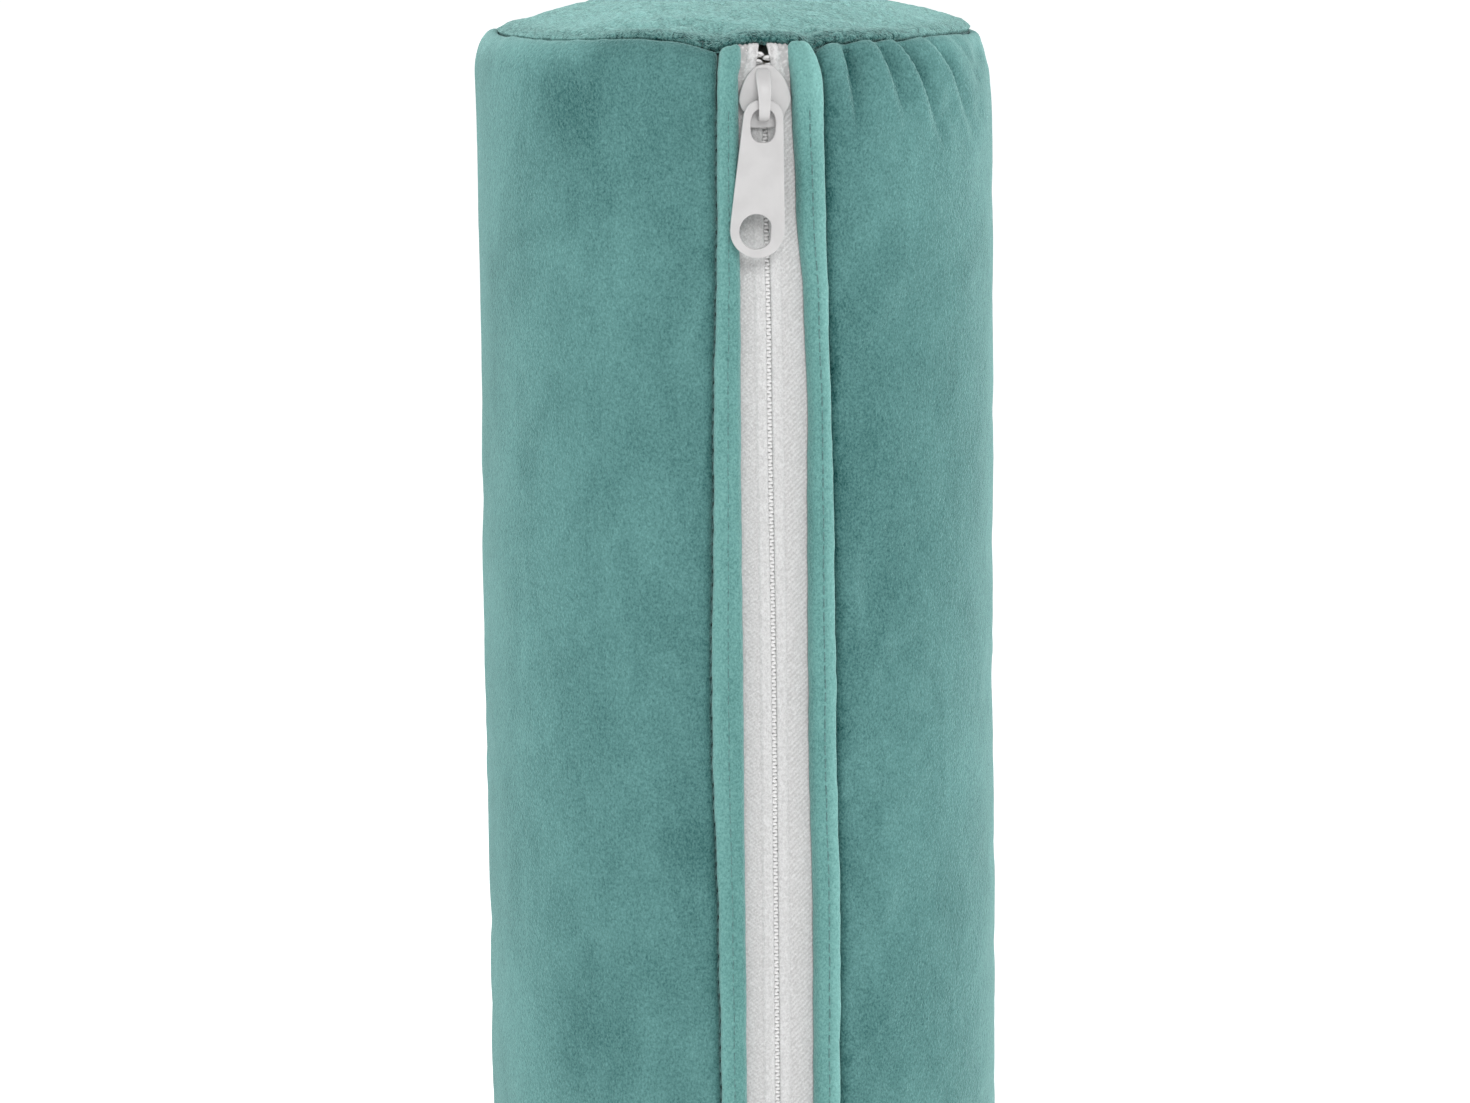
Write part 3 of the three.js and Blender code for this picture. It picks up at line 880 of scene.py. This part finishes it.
def make_slider():
    """Two plates joined by a post, with rails for the coils and the bridge that holds the tab."""
    base_z = node_box("slider_body")[1][2] - SLIDER_TOP
    outline = closed_curve(SLIDER_HALF + [(-x, z) for x, z in reversed(SLIDER_HALF)])
    outline = [Vector((p.x, p.y + base_z)) for p in outline]
    work = bmesh.new()
    add_slab(work, outline, *OUTER_PLATE, 0.34, 0.12, (0, base_z))
    inner = [Vector((p.x * INNER_SCALE, base_z + (p.y - base_z) * INNER_SCALE)) for p in outline]
    add_slab(work, inner, *INNER_PLATE, 0.3, 0, (0, base_z))
    post = [Vector((x, base_z + z)) for x, z in POST]
    add_slab(work, post, 45.0, 49.2, 0.05, 0, (0, base_z + 2.8))
    for side in (-1, 1):
        rail = [Vector((side * RAIL_X + x, base_z + z)) for x, z in RAIL]
        add_slab(work, rail, 45.0, 47.4, 0.1, 0, (side * RAIL_X, base_z - 1.3))
    sections = []
    for i, ((z, out), width, thick) in enumerate(BRIDGE):
        (z0, out0), (z1, out1) = BRIDGE[max(i - 1, 0)][0], BRIDGE[min(i + 1, len(BRIDGE) - 1)][0]
        run = Vector((0, -(out1 - out0), z1 - z0)).normalized()
        normal = Vector((1, 0, 0)).cross(run)
        sections.append(((BRIDGE_X, -out, base_z + z), width, thick, tuple(normal)))
    add_loft(work, sections)
    return face_outwards(finished("enamel_slider", work))


TAB_THICK = 1.6
TAB_PITCH = 2.8  # degrees that the tab leans out, because it rests on the left strip


def make_pull_tab(joint):
    """The tab's flat plate with both holes, as filled curves with rounded edges."""
    top, shoulder, neck = 0.95, -2.6, 3.8
    end, radius = -23.75, 5.15
    half = [(neck * c ** 0.8, shoulder + (top - shoulder) * s) for c, s in arc(90, 0, 10)]
    half.append((radius * 0.992, end + 1.5))
    half += [(radius * c, end + radius * s) for c, s in arc(0, -90, 9)]
    outline = half + [(-x, z) for x, z in reversed(half[1:-1])]
    turn = arc(0, 348, 12)
    upper = [(2.4 * signed_power(c, 0.75), -3.95 + 3.15 * signed_power(s, 0.85)) for c, s in turn]
    lower = [(min(3.2 * c, 2.75) - 0.25, -23.9 + 3.3 * s) for c, s in turn]
    curve = bpy.data.curves.new("enamel_pull_tab", "CURVE")
    curve.dimensions = "2D"
    curve.fill_mode = "BOTH"
    edge = 0.3
    curve.extrude = (TAB_THICK / 2 - edge) * MM
    curve.bevel_depth = edge * MM
    curve.bevel_resolution = 3
    curve.offset = -edge * MM
    for points in (outline, upper, lower):
        spline = curve.splines.new("POLY")
        spline.points.add(len(points) - 1)
        for point, (x, z) in zip(spline.points, points):
            point.co = (x * MM, z * MM, 0, 1)
        spline.use_cyclic_u = True
    temporary = new_object("tab_curve", curve)
    bpy.context.view_layer.update()
    mesh = evaluated_mesh(temporary)
    bpy.data.objects.remove(temporary)
    axis = Vector(joint["axis"])
    lean = math.atan2(axis.z, -axis.x)
    place = Matrix.Translation(Vector(joint["pos_m"]))
    place = place @ Matrix.Rotation(lean, 4, "Y") @ Matrix.Rotation(-math.radians(TAB_PITCH), 4, "X")
    mesh.transform(place @ Matrix.Rotation(math.radians(90), 4, "X"))
    mesh.name = "enamel_pull_tab"
    return face_outwards(new_object("enamel_pull_tab", mesh))


# ---- the inner case and the foam, which the cover hides ----
def worked_copy(node, name, longest, amount, size, seed):
    """A finer copy of a CAD part's mesh, with the small unevenness of cut foam or loose cloth."""
    work = bmesh.new()
    work.from_mesh(frame["nodes"][node].data)
    bmesh.ops.remove_doubles(work, verts=work.verts, dist=1e-6)
    for _ in range(7):
        long_edges = [e for e in work.edges if e.calc_length() > longest * MM]
        if not long_edges:
            break
        bmesh.ops.subdivide_edges(work, edges=long_edges, cuts=1)
        bmesh.ops.triangulate(work, faces=work.faces, quad_method="SHORT_EDGE")
    work.normal_update()
    moves = []
    for vertex in work.verts:
        place = vertex.co / MM
        swell = wobble(*place, size, seed) + 0.5 * wobble(*place, size / 3, seed + 2)
        moves.append(vertex.normal * amount * (swell - 0.6) * MM)
    for vertex, move in zip(work.verts, moves):
        vertex.co += move
    return finished(name, work)


# ---- materials ----
def srgb(r, g, b):
    def channel(v):
        v /= 255
        return v / 12.92 if v <= 0.04045 else ((v + 0.055) / 1.055) ** 2.4
    return (channel(r), channel(g), channel(b), 1.0)


class Paint:
    """A node material: a Principled shader with short calls for the usual nodes."""

    def __init__(self, name, **sockets):
        self.material = bpy.data.materials.new(name)
        self.material.use_nodes = True
        self.tree = self.material.node_tree
        self.shader = next(n for n in self.tree.nodes if n.type == "BSDF_PRINCIPLED")
        for key, value in sockets.items():
            self.shader.inputs[key.replace("_", " ")].default_value = value
        self.place = self.node("TexCoord").outputs["Object"]

    def feed(self, socket, value):
        """Links another node's output to a socket, or sets a plain value."""
        if hasattr(value, "is_output"):
            self.tree.links.new(value, socket)
        else:
            socket.default_value = value

    def node(self, kind, **sockets):
        made = self.tree.nodes.new(f"ShaderNode{kind}")
        for key, value in sockets.items():
            self.feed(made.inputs[key.replace("_", " ")], value)
        return made

    def nap_and_painted_light(self):
        """The tone that the mesh holds: the pile's and the weave's own pattern together with painted shade
        and painted highlights.
        """
        lie = self.node("Attribute")
        lie.attribute_name = "nap_and_painted_light"
        return lie.outputs["Fac"]

    def scaled(self, x, y, z):
        return self.node("Mapping", Vector=self.place, Scale=(x, y, z)).outputs[0]

    def noise(self, scale, detail=2.0, rough=0.5, distortion=0.0, vector=None):
        made = self.node("TexNoise", Vector=vector or self.place, Scale=scale, Detail=detail,
                         Roughness=rough, Distortion=distortion)
        return made.outputs["Fac"]

    def ramp(self, value, low, high, to_low=0.0, to_high=1.0):
        made = self.node("MapRange", Value=value, From_Min=low, From_Max=high,
                         To_Min=to_low, To_Max=to_high)
        made.interpolation_type = "SMOOTHSTEP"
        return made.outputs[0]

    def math(self, operation, a, b=0.0):
        made = self.node("Math")
        made.operation = operation
        for socket, value in zip(made.inputs, (a, b)):
            self.feed(socket, value)
        return made.outputs[0]

    def mix(self, amount, first, second):
        """Mixes two colours. The node's inputs 0, 6 and 7 and output 2 are its colour ones."""
        made = self.node("Mix")
        made.data_type = "RGBA"
        for key, value in ((0, amount), (6, first), (7, second)):
            self.feed(made.inputs[key], value)
        return made.outputs[2]

    def bump(self, height, strength, distance, after=None):
        made = self.node("Bump", Height=height, Strength=strength, Distance=distance)
        if after is not None:
            self.tree.links.new(after, made.inputs["Normal"])
        return made.outputs[0]

    def done(self, colour, relief):
        """Connects the colour and the relief, and gives the material."""
        self.tree.links.new(colour, self.shader.inputs["Base Color"])
        self.tree.links.new(relief, self.shader.inputs["Normal"])
        return self.material


def velvet(name, dark, light, nap_and_painted_light=1.0, crushed=False):
    """Short-pile velvet: nap patches, brushed streaks, fine fibre grain and a soft sheen, over the mesh's
    painted shade and painted highlights.
    """
    paint = Paint(name, Roughness=0.95, Sheen_Weight=0.85 if crushed else 0.7, Sheen_Roughness=0.42,
                  Sheen_Tint=srgb(190, 232, 228), Specular_IOR_Level=0.08)
    patches = paint.ramp(paint.noise(19, 3, 0.55, 0.9), 0.32, 0.68)
    streaks = paint.ramp(paint.noise(120, 3, 0.6, 0.6, paint.scaled(1, 1, 0.45)), 0.3, 0.7)
    fibres = paint.noise(2500, 2, 0.7, 0.3, paint.scaled(1, 1, 0.75))
    tufts = paint.noise(1200, 2, 0.6, 0.9)
    if crushed:
        clumps = paint.noise(620, 3, 0.65, 1.4, paint.scaled(1.5, 0.75, 1.5))
    else:
        clumps = paint.noise(430, 3, 0.6, 0.8)
    # the mesh's painted shade and painted highlights, with the pile's own lie
    tone = paint.math("ADD", paint.nap_and_painted_light(), 0.5)
    shares = ((patches, 0.2 * nap_and_painted_light), (streaks, 0.15 * nap_and_painted_light), (clumps, 3.0 if crushed else 0.18),
              (tufts, 0.22), (fibres, 1.4))
    for part, share in shares:
        centred = paint.math("SUBTRACT", part, 0.5)
        tone = paint.math("ADD", paint.math("MULTIPLY", centred, share), tone)
    tone = paint.math("MINIMUM", paint.math("MAXIMUM", tone, -0.32), 1.9)
    colour = paint.mix(tone, srgb(*dark), srgb(*light))
    colour.node.clamp_factor = False
    pile = paint.bump(clumps, 0.9 if crushed else 0.35, 0.001 if crushed else 0.0005)
    pile = paint.bump(tufts, 0.5, 0.0004, pile)
    pile = paint.bump(fibres, 0.7, 0.0003, pile)
    return paint.done(colour, pile)


def tape_cloth(name):
    """Woven zip tape: soft slanted ribs under an uneven thread grain, over the mesh's weave pattern and its
    painted highlight at the groove edge.
    """
    paint = Paint(name, Roughness=0.75, Sheen_Weight=0.12, Sheen_Roughness=0.5, Specular_IOR_Level=0.25)
    grain = paint.noise(3000, 3, 0.7, 0.4, paint.scaled(1, 1, 0.8))
    knots = paint.noise(1500, 2, 0.6, 0.4)
    height = paint.math("ADD", paint.math("MULTIPLY", knots, 0.5), grain)
    # the mesh's weave pattern and painted highlight at the groove edge
    tone = paint.math("ADD", paint.ramp(height, 0.42, 1.08), paint.nap_and_painted_light())
    colour = paint.mix(tone, srgb(184, 183, 183), srgb(220, 220, 220))
    return paint.done(colour, paint.bump(height, 0.5, 0.00025))


def thread_paint(name, dark, light):
    paint = Paint(name, Roughness=0.55, Sheen_Weight=0.2, Sheen_Roughness=0.4)
    twist = paint.noise(3200, 2, 0.5, 0.2, paint.scaled(1, 1, 0.5))
    colour = paint.mix(paint.ramp(twist, 0.3, 0.7), srgb(*dark), srgb(*light))
    return paint.done(colour, paint.bump(twist, 0.4, 0.0001))


def enamel(name):
    """White enamel over die-cast metal: slight pooling and tiny specks."""
    paint = Paint(name, Coat_Weight=0.12, Coat_Roughness=0.3, Specular_IOR_Level=0.5)
    cloud = paint.ramp(paint.noise(240, 3, 0.5), 0.35, 0.65)
    speck = paint.ramp(paint.noise(2100, 2, 0.6), 0.74, 0.8)
    base = paint.mix(cloud, srgb(190, 189, 189), srgb(195, 194, 194))
    colour = paint.mix(paint.math("MULTIPLY", speck, 0.25), base, srgb(186, 184, 182))
    paint.feed(paint.shader.inputs["Roughness"], paint.ramp(cloud, 0, 1, 0.38, 0.48))
    return paint.done(colour, paint.bump(paint.noise(420, 2, 0.5), 0.12, 0.0002))


def nylon(name):
    paint = Paint(name, Roughness=0.38, Specular_IOR_Level=0.5)
    haze = paint.noise(900, 2, 0.5)
    return paint.done(paint.mix(haze, srgb(224, 224, 224), srgb(244, 244, 243)),
                      paint.bump(haze, 0.2, 0.0001))


def lining_cloth(name):
    paint = Paint(name, Roughness=0.8, Sheen_Weight=0.1)
    weave = paint.node("TexWave", Vector=paint.place, Scale=500, Distortion=0.8)
    weave.bands_direction = "Z"
    grain = paint.noise(1400, 2, 0.6)
    height = paint.math("ADD", paint.math("MULTIPLY", weave.outputs["Fac"], 0.5), grain)
    return paint.done(paint.mix(grain, srgb(222, 219, 210), srgb(240, 238, 231)),
                      paint.bump(height, 0.35, 0.0002))


def foam_paint(name):
    paint = Paint(name, Roughness=0.95)
    cells = paint.node("TexVoronoi", Vector=paint.place, Scale=700.0).outputs["Distance"]
    colour = paint.mix(paint.ramp(cells, 0.1, 0.6), srgb(216, 205, 178), srgb(240, 232, 210))
    return paint.done(colour, paint.bump(cells, 0.6, 0.0005))


SIDE_VELVET = velvet("velvet_side", (44, 88, 87), (108, 157, 154))
END_VELVET = velvet("velvet_end", (44, 90, 88), (116, 166, 162), 0.8, crushed=True)
STRIP_VELVET = velvet("velvet_strip", (60, 110, 107), (122, 174, 169), 0.7)
TAPE = tape_cloth("zip_tape")
NYLON = nylon("zip_coil")
ENAMEL = enamel("white_enamel")
THREAD = thread_paint("teal_thread", (62, 104, 103), (96, 142, 140))
PALE_THREAD = thread_paint("pale_thread", (206, 206, 204), (232, 232, 230))
LINING = lining_cloth("lining_cloth")
FOAM = foam_paint("foam")


# ---- putting the pieces on their bodies ----
def settle(obj, slot, material, *replaced, body="cushion"):
    obj.data.materials.clear()
    obj.data.materials.append(material)
    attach(obj, body)
    if replaced:
        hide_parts(*replaced)
    return obj


STITCH_PITCH = 2.6
SEAM_OUT = 49.5  # distance of the strips' sewn edges from the axis
END_SEAM_OUT = 46.2


def sew(name, node, word, path, length, thick, slant=0.0):
    """Stitches of teal thread along a path, in place of the CAD thread of the same side or end."""
    stitches = make_stitches(f"{name}_{word}", path, length, STITCH_PITCH, thick, slant)
    settle(stitches, "sewing_thread", THREAD, f"{node}_{word}")


JOINTS = {j["name"]: j for j in frame["joints"]}

side = settle(make_side_panel(), "velvet", SIDE_VELVET, "side_panel")
upper = settle(make_end_upper(), "velvet", END_VELVET, "end_panel_upper")
lower = settle(make_end_lower(), "velvet", SIDE_VELVET, "end_panel_lower")

SIDES = (("left", -1, INNER_LEFT, SEAM_LEFT, 3.7, 0.25, SEED_LEFT, -0.06),
         ("right", 1, INNER_RIGHT, SEAM_RIGHT, 7.9, 0.8, SEED_RIGHT, 0.04))
for word, sign, inner, outer, seed, bulge, thread_seed, proud in SIDES:
    strip = make_strip(f"velvet_strip_{word}", sign, inner, outer, seed, bulge)
    settle(strip, "velvet_strip", STRIP_VELVET, f"zip_strip_{word}")
    settle(make_tape(f"woven_tape_{word}", sign, inner), "zip_tape", TAPE, f"zipper_tape_{word}")
    settle(make_coil(f"nylon_coil_{word}", sign), "zip_coil", NYLON, f"zipper_coil_{word}")
    path = seam_up(sign, outer, SEAM_OUT, thread_seed, -0.06)
    sew("seam_stitches", "strip_seam_thread", word, path, THREAD_RUN, 0.4, 0.3)
    path = strip_stitch_path(sign, inner, outer, seed, bulge, proud)
    sew("strip_stitches", "tape_stitch", word, path, THREAD_RUN, 0.3)
    settle(make_cord(f"twisted_cord_{word}", sign), "coil_cord", PALE_THREAD, f"coil_cord_{word}")

for word, z, upper_end in (("upper", SEAM_Z - 0.9, True), ("lower", FOOT_Z + 1.7, False)):
    path = seam_ring(END_SEAM_OUT, z, upper_end, upper_end)
    sew("end_seam_stitches", "end_seam_thread", word, path, AROUND, 0.4, 0.2)

settle(make_bar_tack(), "lining_thread", PALE_THREAD, "bar_tack_lower")
settle(make_slider(), "white_enamel", ENAMEL, "slider_body", body="slider")
settle(make_pull_tab(JOINTS["pull_tab_swing"]), "white_enamel", ENAMEL, "pull_tab", body="tab")

INSIDE = (("foam_core", "foam_roll", 9, 0.35, 16, "foam", FOAM),
          ("liner_sleeve", "lining_sleeve", 9, 0.12, 12, "lining", LINING),
          ("liner_end_upper", "lining_end_upper", 6, 0.12, 12, "lining", LINING),
          ("liner_end_lower", "lining_end_lower", 6, 0.12, 12, "lining", LINING))
for number, (node, name, longest, amount, size, slot, material) in enumerate(INSIDE):
    piece = worked_copy(node, name, longest, amount, size, 3.3 + number)
    settle(piece, slot, material, node)

for word, upwards in (("upper", True), ("lower", False)):
    low, high = node_box(f"liner_seam_thread_{word}")
    radius = (high[0] - low[0]) / 2 - 0.3
    path = seam_ring(radius, (low[2] + high[2]) / 2, upwards, False)
    stitches = make_stitches(f"lining_stitches_{word}", path, 2 * math.pi * radius, 2.8, 0.4)
    settle(stitches, "lining_thread", PALE_THREAD, f"liner_seam_thread_{word}")


# ---- floor, light and background ----
def make_stage():
    scene = bpy.context.scene
    mesh = bpy.data.meshes.new("floor")
    reach = 8.0
    corners = [(-reach, -reach, 0), (reach, -reach, 0), (reach, reach, 0), (-reach, reach, 0)]
    mesh.from_pydata(corners, [], [(0, 1, 2, 3)])
    floor = new_object("floor", mesh)
    floor.location.z = -0.0002
    paint = Paint("floor", Roughness=0.9, Specular_IOR_Level=0.1, Base_Color=(0.5, 0.5, 0.5, 1),
                  Emission_Color=(1, 1, 1, 1), Emission_Strength=0.8)
    floor.data.materials.append(paint.material)
    floor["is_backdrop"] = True

    world = bpy.data.worlds.new("studio")
    world.use_nodes = True
    scene.world = world
    tree = world.node_tree
    sky = tree.nodes["Background"]
    sky.inputs["Color"].default_value = (1, 1, 1, 1)
    rays = tree.nodes.new("ShaderNodeLightPath")
    strength = tree.nodes.new("ShaderNodeMix")
    as_light, seen_directly = 0.55, 1.05
    strength.inputs[2].default_value = as_light
    strength.inputs[3].default_value = seen_directly
    tree.links.new(rays.outputs["Is Camera Ray"], strength.inputs[0])
    tree.links.new(strength.outputs[0], sky.inputs["Strength"])

    aim = Vector((0, 0, 0.3))
    for name, place, size, power in (("key", (0.15, -1.5, 1.35), 0.6, 12),
                                     ("left", (-1.5, 0.2, 0.8), 1.0, 11),
                                     ("right", (1.5, 0.0, 0.8), 1.0, 8),
                                     ("back", (0.2, 1.4, 1.5), 1.0, 10)):
        light = bpy.data.lights.new(name, "AREA")
        light.size = size
        light.energy = power
        lamp = new_object(name, light)
        lamp.location = place
        lamp.rotation_euler = (aim - Vector(place)).to_track_quat("-Z", "Y").to_euler()
    scene.view_settings.view_transform = "Standard"


make_stage()

low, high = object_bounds()
